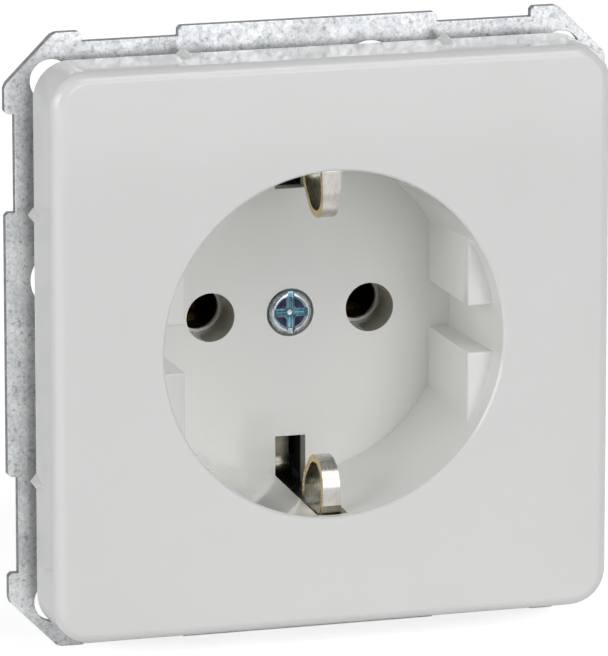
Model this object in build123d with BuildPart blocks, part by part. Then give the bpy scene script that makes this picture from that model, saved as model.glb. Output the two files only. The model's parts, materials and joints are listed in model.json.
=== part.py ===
from build123d import *
import os

# Flush wall socket with a round cup, two pin holes and two side earth clips.
# Millimetres. The wall face is the plane Y = 0, +Y goes into the wall box, the front looks along -Y
# and +Z is up. The origin is the middle of the support frame on its back face.

# Clearances between pieces
FIT = 0.05
PLAY = 0.3

# Front cover
COVER_SIDE = 65.2
COVER_CORNER_R = 4.2
COVER_EDGE_R = 1.4
COVER_WALL = 2.0
PLATE_T = 2.4
COVER_HEIGHT = 8.4
RIM_GAP = 2.0
POST_SIDE = 3.0
POST_PITCH = 51.0

# Snap ramps round the rim of the cover
RAMP_OFFSET = 15.3
RAMP_WIDTH = 1.8
RAMP_HEIGHT = 0.75
RAMP_LENGTH = 3.6
RAMP_ROOT = 0.5

# Plug recess
CUP_DEPTH = 17.5
MOUTH_R = 19.9
CUP_DRAFT = 0.7
MOUTH_CHAMFER = 0.25
CUP_WALL = 1.2
FLOOR_T = 2.0
RIB_REACH = 2.55
RIB_GAP = 5.45
RIB_DROP = 3.1
RIB_EDGE_R = 0.3

# Plug pins
PIN_PITCH = 19.0
PIN_HOLE_D = 5.7
PIN_TUBE_WALL = 0.95
PIN_TUBE_LENGTH = 4.1
PIN_LIP = 0.35
PIN_LIP_T = 0.6

# Centre screw
SCREW_D = 3.0
SCREW_HEAD_D = 5.1
SCREW_HEAD_H = 1.6
SCREW_HEAD_CHAMFER = 0.35
SCREW_SEAT_SINK = 1.25
SCREW_SEAT_PLAY = 0.25
SCREW_PASS = 0.4
SCREW_TAIL = 2.4
SCREW_SLOT_W = 0.75
SCREW_CROSS_W = 1.1
SCREW_CROSS_SPAN = 3.2
SCREW_RECESS = 1.1

# Support frame
FRAME_SIDE = 70.7
FRAME_T = 1.2
FRAME_CHAMFER = 5.7
FRAME_NOTCH = 1.15
FRAME_TAB_HALF = 15.2
FRAME_EAR_LENGTH = 3.25
FRAME_CORNER_CUT = 0.35
FIXING_INSET = 5.35
CORNER_HOLE_D = 4.8
KEY_HEAD_D = 6.8
KEY_SLOT_W = 3.6
KEY_HEAD_ANGLE = 14.0
KEY_TAIL_ANGLE = 8.0
LEG_WIDTH = 12.0
LEG_BEND_R = 0.6
LEG_RELIEF = 0.8
LEG_GAP = 1.2
LEG_LENGTH = 16.0
FRAME_HOLE_GAP = 2.4
TONGUE_W = 3.0

# Earth bracket strip
STRIP_T = 0.8
STRIP_W = 2.6
WEB_W = 8.4
WEB_HEIGHT = 18.0
WEB_BEND_R = 2.5
CLIP_RUN_GAP = 0.5
CLIP_FOOT = 1.8
CLIP_FOOT_R = 0.9
CLIP_SPAN = 7.0
CLIP_CREST = 4.4
CLIP_TIP_IN = 6.2
CLIP_FRONT_R = 2.9
CLIP_REAR_R = 2.6
CLIP_SHOULDER_IN = 3.2
CLIP_SHOULDER_R = 2.4
CLIP_TIP_W = 2.0
CLIP_END_IN = 0.9
COLLAR_WALL = 1.0
COLLAR_H = 1.6

# Earth slots through the cup
SLOT_W = 3.6
SLOT_REACH = 4.7
SLOT_SIDE = 0.5
SLOT_FRONT = 0.3

# Insulating base and the plate that closes it
CONTACT_COVER_T = 2.5
BASE_SIDE_GAP = 0.7
BASE_TRIM = 0.4
BASE_DEPTH = 16.6
BASE_CORNER_CUT = 3.5
BASE_REAR_CHAMFER = 1.2
BASE_WALL = 1.6
BASE_REAR_T = 2.0
PARTITION_T = 1.2
CHAMBER_TOP = 5.2
PARTITION_ROW = 1.6
POCKET_INNER = 3.4
POCKET_OUTER = 13.4
SHROUD_WALL = 1.5
SHROUD_TAIL = 4.0
SHROUD_NOTCH = 2.3
LATCH_W = 5.6
LATCH_H = 2.2
LATCH_OUT = 1.3
LATCH_DROP = 0.5
LATCH_CHAMFER = 0.6

# Screws that hold the contact cover on the base
HOUSING_SCREW_D = 2.2
HOUSING_HEAD_D = 4.4
HOUSING_HEAD_H = 1.4
HOUSING_SCREW_GRIP = 7.0
HOUSING_SCREW_INSET = 3.8
DRIVE_SLOT_W = 0.7
DRIVE_SLOT_H = 0.7

# Pin contacts
CONTACT_T = 0.7
CONTACT_W = 5.0
CONTACT_PINCH = 4.2
CONTACT_MOUTH = 5.5
CONTACT_ROOT = 5.3
CONTACT_MOUTH_DROP = 0.35
CONTACT_LEAD = 1.9
CONTACT_LENGTH = 8.6
CONTACT_BEND_R = 0.8
CONTACT_PINCH_R = 1.2
SPRING_T = 0.5
SPRING_W = 3.0
SPRING_FLARE = 0.3
SPRING_LEAD = 0.6
SPRING_BEND_R = 0.8

# Terminals
TERMINAL_SIDE = 4.5
TERMINAL_FOOT = 7.5
LUG_W = 5.0
LUG_TAIL = 3.6
CAGE_WALL = 0.8
CAGE_REAR_WALL = 1.4
CAGE_LENGTH = 5.6
CAGE_SIDE_PLAY = 0.2
CAGE_WIRE_GAP = 3.6
CAGE_REAR_GAP = 0.7
TERMINAL_SCREW_D = 3.5
TERMINAL_HEAD_D = 5.5
TERMINAL_HEAD_H = 1.9
TERMINAL_SCREW_REACH = 0.6
TERMINAL_SLOT_W = 0.8
TERMINAL_SLOT_H = 0.9
WELL_PLAY = 0.45
WIRE_WINDOW_W = 6.4
EARTH_LUG_T = 0.8
EARTH_LUG_W = 4.8
EARTH_LUG_BEND_R = 1.2
EARTH_LUG_SHELF_GAP = 3.4
RIVET_D = 1.6
RIVET_HEAD_D = 2.3
RIVET_HEAD_H = 0.6
RIVET_EDGE = 1.4

# Levels along Y, front to back
RIM_Y = -FRAME_T - RIM_GAP
FRONT_Y = RIM_Y - COVER_HEIGHT
PLATE_BACK_Y = FRONT_Y + PLATE_T
FLOOR_Y = FRONT_Y + CUP_DEPTH
FLOOR_BACK_Y = FLOOR_Y + FLOOR_T
TUBE_END_Y = FLOOR_BACK_Y + PIN_TUBE_LENGTH
BASE_FRONT_Y = FLOOR_BACK_Y + CONTACT_COVER_T
WEB_Y = BASE_FRONT_Y
WEB_BACK_Y = WEB_Y + STRIP_T
BASE_BACK_Y = BASE_FRONT_Y + BASE_DEPTH
REAR_WALL_Y = BASE_BACK_Y - BASE_REAR_T
CONTACT_MOUTH_Y = TUBE_END_Y + CONTACT_MOUTH_DROP
LUG_Y = CONTACT_MOUTH_Y + CONTACT_LENGTH
LUG_BACK_Y = LUG_Y + CONTACT_T
CAGE_BACK_Y = LUG_BACK_Y + CAGE_REAR_GAP + CAGE_REAR_WALL
HEAD_SEAT_Y = CAGE_BACK_Y + TERMINAL_SCREW_REACH

# Reaches shared by pieces that meet
FRAME_HALF = FRAME_SIDE / 2
FIXING_REACH = FRAME_HALF - FIXING_INSET
FLOOR_R = MOUTH_R - CUP_DRAFT
CUP_OUTER_R = MOUTH_R + CUP_WALL
PIN_X = PIN_PITCH / 2
TUBE_R = PIN_HOLE_D / 2 + PIN_TUBE_WALL
SLOT_START = FLOOR_R - SLOT_REACH
CLIP_RUN = MOUTH_R + CLIP_RUN_GAP
CLIP_TIP_PEAK = CLIP_RUN - CLIP_TIP_IN
STRIP_OUTER = CLIP_RUN + STRIP_T / 2
LEG_INNER_X = CUP_OUTER_R + LEG_GAP
LEG_OUTER_X = LEG_INNER_X + FRAME_T
BASE_HALF_X = LEG_INNER_X - BASE_SIDE_GAP
BASE_HALF_Z = MOUTH_R - BASE_TRIM
CHAMBER_OUTER_X = BASE_HALF_X - BASE_WALL
CHAMBER_BOTTOM_Z = -BASE_HALF_Z + BASE_WALL
HOUSING_SCREW_X = BASE_HALF_X - HOUSING_SCREW_INSET
HOUSING_SCREW_Z = BASE_HALF_Z - HOUSING_SCREW_INSET
TERMINAL_PITCH = CHAMBER_OUTER_X - TERMINAL_SIDE
TERMINAL_DROP = BASE_HALF_Z - TERMINAL_FOOT
MIDDLE_HALF_X = WEB_W / 2 + FIT
CHAMBER_INNER_X = MIDDLE_HALF_X + PARTITION_T
COLLAR_R = SCREW_D / 2 + FIT + COLLAR_WALL
EARTH_LUG_TOP = COLLAR_R + PLAY
RIVET_Z = EARTH_LUG_TOP + RIVET_EDGE


def level(y):
    """Sketch plane at depth y: sketch x is X, sketch y is Z and the normal looks to the front."""
    return Plane.XZ.offset(-y)


# Front cover: square shell, cup, ribs, pin tubes, posts and snap ramps
with BuildPart() as cover:
    with BuildSketch(level(RIM_Y)):
        RectangleRounded(COVER_SIDE, COVER_SIDE, COVER_CORNER_R)
    extrude(amount=COVER_HEIGHT)
    fillet(cover.faces().sort_by(Axis.Y)[0].edges(), radius=COVER_EDGE_R)
    with BuildSketch(level(RIM_Y)):
        cavity_side = COVER_SIDE - 2 * COVER_WALL
        RectangleRounded(cavity_side, cavity_side, COVER_CORNER_R - COVER_WALL)
    extrude(amount=COVER_HEIGHT - PLATE_T, mode=Mode.SUBTRACT)
    with BuildSketch(level(FLOOR_BACK_Y)):
        Circle(CUP_OUTER_R)
    extrude(amount=FLOOR_BACK_Y - PLATE_BACK_Y)
    with BuildSketch(Plane.XY):
        with BuildLine():
            Polyline(
                (0, FRONT_Y),
                (MOUTH_R + MOUTH_CHAMFER, FRONT_Y),
                (MOUTH_R, FRONT_Y + MOUTH_CHAMFER),
                (FLOOR_R, FLOOR_Y),
                (0, FLOOR_Y),
                close=True,
            )
        make_face()
    revolve(axis=Axis.Y, mode=Mode.SUBTRACT)
    with BuildSketch(level(FLOOR_Y)):
        Circle(MOUTH_R + CUP_WALL / 2)
        Rectangle(2 * (FLOOR_R - RIB_REACH), 2 * CUP_OUTER_R, mode=Mode.SUBTRACT)
        Rectangle(2 * CUP_OUTER_R, RIB_GAP, mode=Mode.SUBTRACT)
    extrude(amount=CUP_DEPTH - RIB_DROP)
    rib_tops = cover.faces().filter_by(Axis.Y).filter_by(
        lambda f: abs(f.center().Y - (FRONT_Y + RIB_DROP)) < FIT
    )
    fillet(rib_tops.edges().filter_by(GeomType.LINE), radius=RIB_EDGE_R)
    with BuildSketch(level(FLOOR_BACK_Y)):
        with GridLocations(PIN_PITCH, 0, 2, 1):
            Circle(TUBE_R)
    extrude(amount=-PIN_TUBE_LENGTH)
    with BuildSketch(level(FLOOR_Y)):
        with GridLocations(PIN_PITCH, 0, 2, 1):
            Circle(PIN_HOLE_D / 2)
    extrude(amount=-(FLOOR_T + PIN_TUBE_LENGTH - PIN_LIP_T), mode=Mode.SUBTRACT)
    with BuildSketch(level(FLOOR_Y)):
        with GridLocations(PIN_PITCH, 0, 2, 1):
            Circle(PIN_HOLE_D / 2 - PIN_LIP)
    extrude(amount=-(FLOOR_T + PIN_TUBE_LENGTH), mode=Mode.SUBTRACT)
    with BuildSketch(level(FLOOR_Y)):
        Circle(SCREW_HEAD_D / 2 + SCREW_SEAT_PLAY)
    extrude(amount=-SCREW_SEAT_SINK, mode=Mode.SUBTRACT)
    with BuildSketch(level(FLOOR_Y)):
        Circle(SCREW_D / 2 + SCREW_PASS / 2)
    extrude(amount=-FLOOR_T, mode=Mode.SUBTRACT)
    slot_end = CUP_OUTER_R + SLOT_SIDE
    slot_front_y = FRONT_Y + CLIP_FOOT - STRIP_T / 2 - SLOT_FRONT
    with BuildSketch(level(FLOOR_BACK_Y)):
        with GridLocations(0, slot_end + SLOT_START, 1, 2):
            Rectangle(SLOT_W, slot_end - SLOT_START)
    extrude(amount=FLOOR_BACK_Y - slot_front_y, mode=Mode.SUBTRACT)
    with BuildSketch(level(PLATE_BACK_Y)):
        with GridLocations(POST_PITCH, POST_PITCH, 2, 2):
            Rectangle(POST_SIDE, POST_SIDE)
    extrude(amount=-(-FRAME_T - PLATE_BACK_Y))
    for along in ((1, 0, 0), (0, 0, 1), (-1, 0, 0), (0, 0, -1)):
        side_plane = Plane(origin=(0, RIM_Y, 0), x_dir=along, z_dir=(0, -1, 0))
        for ramp_x in (-RAMP_OFFSET, RAMP_OFFSET):
            with BuildSketch(side_plane) as ramp:
                root_half = RAMP_WIDTH / 2 * (RAMP_HEIGHT + RAMP_ROOT) / RAMP_HEIGHT
                with BuildLine():
                    Polyline(
                        (ramp_x - root_half, COVER_SIDE / 2 - RAMP_ROOT),
                        (ramp_x, COVER_SIDE / 2 + RAMP_HEIGHT),
                        (ramp_x + root_half, COVER_SIDE / 2 - RAMP_ROOT),
                        close=True,
                    )
                make_face()
            ramp_end = side_plane.from_local_coords(Vector(ramp_x, COVER_SIDE / 2 - FIT, RAMP_LENGTH))
            loft(sections=[ramp.sketch, Vertex(ramp_end.X, ramp_end.Y, ramp_end.Z)])
cover.part.label = "cover"

# Support frame: notched steel plate with keyholes, corner holes, bent legs and earth tongues
with BuildPart() as support_frame:
    notch_line = FRAME_HALF - FRAME_NOTCH
    ear_end = FRAME_HALF - FRAME_CHAMFER
    ear_start = ear_end - FRAME_EAR_LENGTH
    with BuildSketch(level(0)) as outline:
        with BuildLine():
            Polyline(
                (0, FRAME_HALF),
                (FRAME_TAB_HALF, FRAME_HALF),
                (FRAME_TAB_HALF, notch_line),
                (ear_start, notch_line),
                (ear_start, FRAME_HALF),
                (ear_end, FRAME_HALF),
                (FRAME_HALF, ear_end),
                (FRAME_HALF, ear_start),
                (notch_line, ear_start),
                (notch_line, FRAME_TAB_HALF),
                (FRAME_HALF, FRAME_TAB_HALF),
                (FRAME_HALF, 0),
            )
            mirror(about=Plane.YZ)
            mirror(about=Plane.XZ)
        make_face()
        outer_corners = outline.vertices().filter_by(lambda v: max(abs(v.X), abs(v.Y)) > FRAME_HALF - FIT)
        chamfer(outer_corners, length=FRAME_CORNER_CUT)
        with GridLocations(2 * FIXING_REACH, 2 * FIXING_REACH, 2, 2):
            Circle(CORNER_HOLE_D / 2, mode=Mode.SUBTRACT)
        with PolarLocations(FIXING_REACH, 4, start_angle=-KEY_HEAD_ANGLE):
            Circle(KEY_HEAD_D / 2, mode=Mode.SUBTRACT)
        for turn in range(4):
            with BuildLine(mode=Mode.PRIVATE) as key_path:
                CenterArc((0, 0), FIXING_REACH, 90 * turn - KEY_HEAD_ANGLE, KEY_HEAD_ANGLE + KEY_TAIL_ANGLE)
            SlotArc(key_path.edges()[0], KEY_SLOT_W, mode=Mode.SUBTRACT)
    extrude(amount=FRAME_T)
    leg_start_x = LEG_OUTER_X + LEG_BEND_R
    with BuildSketch(level(0)):
        Circle(CUP_OUTER_R + FRAME_HOLE_GAP)
        Rectangle(2 * leg_start_x, LEG_WIDTH + 2 * LEG_RELIEF)
        tongue_edge = STRIP_OUTER + FIT
        with GridLocations(0, tongue_edge + leg_start_x, 1, 2):
            Rectangle(TONGUE_W, leg_start_x - tongue_edge, mode=Mode.SUBTRACT)
    extrude(amount=FRAME_T, mode=Mode.SUBTRACT)
    with BuildSketch(Plane.XY):
        with BuildLine():
            FilletPolyline(
                (leg_start_x + FRAME_T, -FRAME_T / 2),
                (LEG_INNER_X + FRAME_T / 2, -FRAME_T / 2),
                (LEG_INNER_X + FRAME_T / 2, LEG_LENGTH),
                radius=LEG_BEND_R + FRAME_T / 2,
            )
        trace(line_width=FRAME_T)
        mirror(about=Plane.YZ)
    extrude(amount=LEG_WIDTH / 2, both=True)
    window_y = BASE_FRONT_Y + LATCH_DROP + LATCH_H / 2
    with BuildSketch(Plane.YZ):
        with Locations((window_y, 0)):
            Rectangle(LATCH_H + 2 * PLAY, LATCH_W + 2 * PLAY)
    extrude(amount=LEG_OUTER_X, both=True, mode=Mode.SUBTRACT)
support_frame.part.label = "support_frame"

# Earth bracket: one strip with a web across the middle and a curled clip at each end
with BuildPart() as earth_bracket:
    foot_y = FRONT_Y + CLIP_FOOT
    return_y = foot_y + CLIP_SPAN
    shoulder_z = CLIP_RUN - CLIP_SHOULDER_IN
    web_mid_y = WEB_Y + STRIP_T / 2
    with BuildSketch(Plane.YZ):
        with BuildLine():
            FilletPolyline(
                (web_mid_y, 0),
                (web_mid_y, CLIP_RUN),
                (foot_y, CLIP_RUN),
                (foot_y, CLIP_TIP_PEAK),
                (foot_y + CLIP_CREST, CLIP_TIP_PEAK),
                (return_y, shoulder_z),
                (return_y, CLIP_RUN - CLIP_END_IN),
                radius=[WEB_BEND_R, CLIP_FOOT_R, CLIP_FRONT_R, CLIP_REAR_R, CLIP_SHOULDER_R],
            )
        trace(line_width=STRIP_T)
        mirror(about=Plane.XZ)
    extrude(amount=STRIP_W / 2, both=True)
    with BuildSketch(level(return_y + STRIP_T)):
        with BuildLine():
            Polyline(
                (STRIP_W / 2, CLIP_RUN - STRIP_T / 2),
                (CLIP_TIP_W / 2, CLIP_TIP_PEAK - STRIP_T),
                (STRIP_W / 2, CLIP_TIP_PEAK - STRIP_T),
                close=True,
            )
        make_face()
        mirror(about=Plane.YZ)
        mirror(about=Plane.XZ)
    extrude(amount=CLIP_SPAN + 2 * STRIP_T, mode=Mode.SUBTRACT)
    with BuildSketch(level(WEB_BACK_Y)):
        Rectangle(WEB_W, WEB_HEIGHT)
    extrude(amount=STRIP_T)
    with BuildSketch(level(WEB_BACK_Y)):
        Circle(COLLAR_R)
    extrude(amount=-COLLAR_H)
    with BuildSketch(level(WEB_Y)):
        Circle(SCREW_D / 2 + FIT)
        with Locations((0, -RIVET_Z)):
            Circle(RIVET_D / 2 + FIT)
    extrude(amount=-(STRIP_T + COLLAR_H), mode=Mode.SUBTRACT)
earth_bracket.part.label = "earth_bracket"

# Contact cover: plate between the cup floor and the base, which presses on the web of the bracket
housing_places = ((-HOUSING_SCREW_X, HOUSING_SCREW_Z), (HOUSING_SCREW_X, HOUSING_SCREW_Z))
with BuildPart() as contact_cover:
    with BuildSketch(level(BASE_FRONT_Y)) as plate:
        Rectangle(2 * BASE_HALF_X, 2 * BASE_HALF_Z)
        chamfer(plate.vertices(), length=BASE_CORNER_CUT)
        Circle(SCREW_D / 2 + SCREW_PASS / 2, mode=Mode.SUBTRACT)
        with GridLocations(PIN_PITCH, 0, 2, 1):
            Circle(TUBE_R + PLAY / 2, mode=Mode.SUBTRACT)
        with GridLocations(0, BASE_HALF_Z + SLOT_START, 1, 2):
            Rectangle(SLOT_W, BASE_HALF_Z - SLOT_START, mode=Mode.SUBTRACT)
        with Locations(*housing_places):
            Circle(HOUSING_SCREW_D / 2 + PLAY / 2, mode=Mode.SUBTRACT)
    extrude(amount=CONTACT_COVER_T)
contact_cover.part.label = "contact_cover"

# Insulating base: moulded box with two contact chambers, the earth chamber and latches
with BuildPart() as socket_base:
    with BuildSketch(level(BASE_BACK_Y)) as base_outline:
        Rectangle(2 * BASE_HALF_X, 2 * BASE_HALF_Z)
        chamfer(base_outline.vertices(), length=BASE_CORNER_CUT)
    extrude(amount=BASE_DEPTH)
    chamfer(socket_base.faces().sort_by(Axis.Y)[-1].edges(), length=BASE_REAR_CHAMFER)
    shroud_inner = STRIP_OUTER + SLOT_SIDE
    shroud_outer = shroud_inner + SHROUD_WALL
    shroud_end_y = WEB_BACK_Y + SHROUD_TAIL
    with BuildSketch(Plane.YZ):
        with BuildLine():
            Polyline(
                (0, shroud_inner),
                (0, shroud_outer),
                (shroud_end_y, shroud_outer),
                (shroud_end_y + shroud_outer - BASE_HALF_Z, BASE_HALF_Z),
                (shroud_end_y, BASE_HALF_Z - BASE_WALL),
                (BASE_FRONT_Y, BASE_HALF_Z - BASE_WALL),
                (BASE_FRONT_Y, shroud_inner),
                close=True,
            )
        make_face()
        mirror(about=Plane.XZ)
    extrude(amount=SLOT_W / 2 + SHROUD_WALL, both=True)
    with BuildSketch(level(0)):
        with GridLocations(0, shroud_inner + shroud_outer, 1, 2):
            Rectangle(TONGUE_W + 2 * PLAY, SHROUD_WALL)
    extrude(amount=-SHROUD_NOTCH, mode=Mode.SUBTRACT)
    chamber_w = CHAMBER_OUTER_X - CHAMBER_INNER_X
    chamber_h = CHAMBER_TOP - CHAMBER_BOTTOM_Z
    with BuildSketch(level(BASE_FRONT_Y)) as chambers:
        with Locations((CHAMBER_INNER_X + chamber_w / 2, CHAMBER_TOP - chamber_h / 2)):
            Rectangle(chamber_w, chamber_h)
        pocket_bottom = CHAMBER_TOP + PARTITION_ROW
        pocket_h = BASE_HALF_Z - BASE_WALL - pocket_bottom
        with Locations(((POCKET_INNER + POCKET_OUTER) / 2, pocket_bottom + pocket_h / 2)):
            Rectangle(POCKET_OUTER - POCKET_INNER, pocket_h)
        mirror(about=Plane.YZ)
        middle_top = -(EARTH_LUG_TOP - EARTH_LUG_T)
        with Locations((0, (middle_top + CHAMBER_BOTTOM_Z) / 2)):
            Rectangle(2 * MIDDLE_HALF_X, middle_top - CHAMBER_BOTTOM_Z)
    extrude(amount=-(REAR_WALL_Y - BASE_FRONT_Y), mode=Mode.SUBTRACT)
    with BuildSketch(level(BASE_FRONT_Y)):
        Rectangle(2 * MIDDLE_HALF_X, WEB_HEIGHT + 2 * PLAY)
        Rectangle(STRIP_W + 2 * PLAY, 2 * shroud_inner)
    extrude(amount=-(WEB_BACK_Y - BASE_FRONT_Y), mode=Mode.SUBTRACT)
    with BuildSketch(level(WEB_BACK_Y)):
        Circle(COLLAR_R + PLAY)
    extrude(amount=-(COLLAR_H + SCREW_TAIL), mode=Mode.SUBTRACT)
    spring_space = SPRING_W / 2 + PLAY
    ledge_w = CONTACT_W / 2 - spring_space
    with BuildSketch(level(REAR_WALL_Y)):
        for contact_x in (-PIN_X, PIN_X):
            with Locations((contact_x, 0)):
                with GridLocations(2 * spring_space + ledge_w, 0, 2, 1):
                    Rectangle(ledge_w, CONTACT_ROOT)
    extrude(amount=REAR_WALL_Y - LUG_BACK_Y)
    with BuildSketch(level(BASE_BACK_Y)):
        with Locations((0, -TERMINAL_DROP)):
            with GridLocations(TERMINAL_PITCH, 0, 3, 1):
                Circle(TERMINAL_HEAD_D / 2 + WELL_PLAY)
    extrude(amount=BASE_REAR_T, mode=Mode.SUBTRACT)
    window_mid_y = LUG_Y - CAGE_WIRE_GAP / 2
    with BuildSketch(Plane.XY.offset(-BASE_HALF_Z)):
        with Locations((0, window_mid_y)):
            with GridLocations(TERMINAL_PITCH, 0, 3, 1):
                Rectangle(WIRE_WINDOW_W, CAGE_WIRE_GAP)
    extrude(amount=BASE_WALL, mode=Mode.SUBTRACT)
    with BuildSketch(level(BASE_FRONT_Y)):
        with Locations(*housing_places):
            Circle(HOUSING_SCREW_D / 2 + FIT)
    extrude(amount=-HOUSING_SCREW_GRIP, mode=Mode.SUBTRACT)
    latch_y = BASE_FRONT_Y + LATCH_DROP
    with BuildSketch(Plane.XY):
        with BuildLine():
            Polyline(
                (BASE_HALF_X - BASE_WALL, latch_y),
                (BASE_HALF_X + LATCH_OUT - LATCH_CHAMFER, latch_y),
                (BASE_HALF_X + LATCH_OUT, latch_y + LATCH_CHAMFER),
                (BASE_HALF_X + LATCH_OUT, latch_y + LATCH_H),
                (BASE_HALF_X - BASE_WALL, latch_y + LATCH_H),
                close=True,
            )
        make_face()
        mirror(about=Plane.YZ)
    extrude(amount=LATCH_W / 2, both=True)
socket_base.part.label = "socket_base"

# Centre screw: pan head with a slot and cross recess, and a plain shank in place of its thread
with BuildPart() as centre_screw:
    seat_y = FLOOR_Y + SCREW_SEAT_SINK
    head_y = seat_y - SCREW_HEAD_H
    with BuildSketch(level(seat_y)):
        Circle(SCREW_HEAD_D / 2)
    extrude(amount=SCREW_HEAD_H)
    chamfer(centre_screw.faces().sort_by(Axis.Y)[0].edges(), length=SCREW_HEAD_CHAMFER)
    with BuildSketch(level(seat_y)):
        Circle(SCREW_D / 2)
    extrude(amount=-(WEB_BACK_Y + COLLAR_H + SCREW_TAIL / 2 - seat_y))
    with BuildSketch(level(head_y)):
        Rectangle(SCREW_SLOT_W, SCREW_HEAD_D)
        Rectangle(SCREW_CROSS_SPAN, SCREW_CROSS_W)
        Rectangle(SCREW_CROSS_W, SCREW_CROSS_SPAN)
    extrude(amount=-SCREW_RECESS, mode=Mode.SUBTRACT)
centre_screw.part.label = "centre_screw"

# Screws of the contact cover
with BuildPart() as housing_screws:
    with BuildSketch(level(FLOOR_BACK_Y)):
        with Locations(*housing_places):
            Circle(HOUSING_HEAD_D / 2)
    extrude(amount=HOUSING_HEAD_H)
    with BuildSketch(level(FLOOR_BACK_Y)):
        with Locations(*housing_places):
            Circle(HOUSING_SCREW_D / 2)
    extrude(amount=-(CONTACT_COVER_T + HOUSING_SCREW_GRIP - PLAY))
    with BuildSketch(level(FLOOR_BACK_Y - HOUSING_HEAD_H)):
        with Locations(*housing_places):
            Rectangle(HOUSING_HEAD_D, DRIVE_SLOT_W)
    extrude(amount=-DRIVE_SLOT_H, mode=Mode.SUBTRACT)
housing_screws.part.label = "housing_screws"


def make_contact(side):
    """Forked brass contact on one pin, with the lug that runs to its terminal."""
    mouth_z = CONTACT_MOUTH / 2 + CONTACT_T / 2
    pinch_z = CONTACT_PINCH / 2 + CONTACT_T / 2
    root_z = CONTACT_ROOT / 2 + CONTACT_T / 2
    root_y = LUG_Y + CONTACT_T / 2
    with BuildPart() as contact:
        with BuildSketch(Plane.YZ.offset(side * PIN_X)):
            with BuildLine():
                FilletPolyline(
                    (CONTACT_MOUTH_Y, mouth_z),
                    (CONTACT_MOUTH_Y + CONTACT_LEAD, pinch_z),
                    (root_y, root_z),
                    (root_y, -root_z),
                    (CONTACT_MOUTH_Y + CONTACT_LEAD, -pinch_z),
                    (CONTACT_MOUTH_Y, -mouth_z),
                    radius=[CONTACT_PINCH_R, CONTACT_BEND_R, CONTACT_BEND_R, CONTACT_PINCH_R],
                )
            trace(line_width=CONTACT_T)
        extrude(amount=CONTACT_W / 2, both=True)
        lug_inner_x = TERMINAL_PITCH - LUG_W / 2
        lug_outer_x = TERMINAL_PITCH + LUG_W / 2
        with BuildSketch(level(LUG_BACK_Y)):
            with BuildLine():
                Polyline(
                    (side * PIN_X, LUG_W / 2),
                    (side * lug_outer_x, LUG_W / 2),
                    (side * lug_outer_x, -TERMINAL_DROP - LUG_TAIL),
                    (side * lug_inner_x, -TERMINAL_DROP - LUG_TAIL),
                    (side * lug_inner_x, -LUG_W / 2),
                    (side * PIN_X, -LUG_W / 2),
                    close=True,
                )
            make_face()
        extrude(amount=CONTACT_T)
    return contact.part


def make_contact_spring(side):
    """Steel clip that hugs the fork of one contact from outside."""
    pinch_y = CONTACT_MOUTH_Y + CONTACT_LEAD
    lift = CONTACT_T + FIT + SPRING_T / 2
    pinch_z = CONTACT_PINCH / 2 + lift
    root_z = CONTACT_ROOT / 2 + lift + FIT
    root_y = LUG_BACK_Y + FIT + SPRING_T / 2
    with BuildPart() as spring:
        with BuildSketch(Plane.YZ.offset(side * PIN_X)):
            with BuildLine():
                FilletPolyline(
                    (pinch_y - SPRING_LEAD, pinch_z + SPRING_FLARE),
                    (pinch_y, pinch_z),
                    (root_y, root_z),
                    (root_y, -root_z),
                    (pinch_y, -pinch_z),
                    (pinch_y - SPRING_LEAD, -pinch_z - SPRING_FLARE),
                    radius=[SPRING_T, SPRING_BEND_R, SPRING_BEND_R, SPRING_T],
                )
            trace(line_width=SPRING_T)
        extrude(amount=SPRING_W / 2, both=True)
    return spring.part


def make_cage(centre_x):
    """Lift cage round a terminal lug, open along Z for the wires, with a threaded rear wall."""
    inner_w = LUG_W + 2 * CAGE_SIDE_PLAY
    front_y = LUG_Y - CAGE_WIRE_GAP - CAGE_WALL
    depth = CAGE_BACK_Y - front_y
    inner_depth = depth - CAGE_WALL - CAGE_REAR_WALL
    with BuildPart() as cage:
        with BuildSketch(Plane.XY.offset(-TERMINAL_DROP)):
            with Locations((centre_x, front_y + depth / 2)):
                Rectangle(inner_w + 2 * CAGE_WALL, depth)
            with Locations((centre_x, front_y + CAGE_WALL + inner_depth / 2)):
                Rectangle(inner_w, inner_depth, mode=Mode.SUBTRACT)
        extrude(amount=CAGE_LENGTH / 2, both=True)
        with BuildSketch(level(CAGE_BACK_Y)):
            with Locations((centre_x, -TERMINAL_DROP)):
                Circle(TERMINAL_SCREW_D / 2 + FIT)
        extrude(amount=CAGE_REAR_WALL, mode=Mode.SUBTRACT)
    return cage.part


def make_terminal_screw(centre_x):
    """Slotted terminal screw whose tip presses on the lug, head to the rear."""
    place = (centre_x, -TERMINAL_DROP)
    with BuildPart() as screw:
        with BuildSketch(level(HEAD_SEAT_Y)):
            with Locations(place):
                Circle(TERMINAL_SCREW_D / 2)
        extrude(amount=HEAD_SEAT_Y - LUG_BACK_Y)
        with BuildSketch(level(HEAD_SEAT_Y)):
            with Locations(place):
                Circle(TERMINAL_HEAD_D / 2)
        extrude(amount=-TERMINAL_HEAD_H)
        with BuildSketch(level(HEAD_SEAT_Y + TERMINAL_HEAD_H)):
            with Locations(place):
                Rectangle(TERMINAL_HEAD_D, TERMINAL_SLOT_W)
        extrude(amount=TERMINAL_SLOT_H, mode=Mode.SUBTRACT)
    return screw.part


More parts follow.
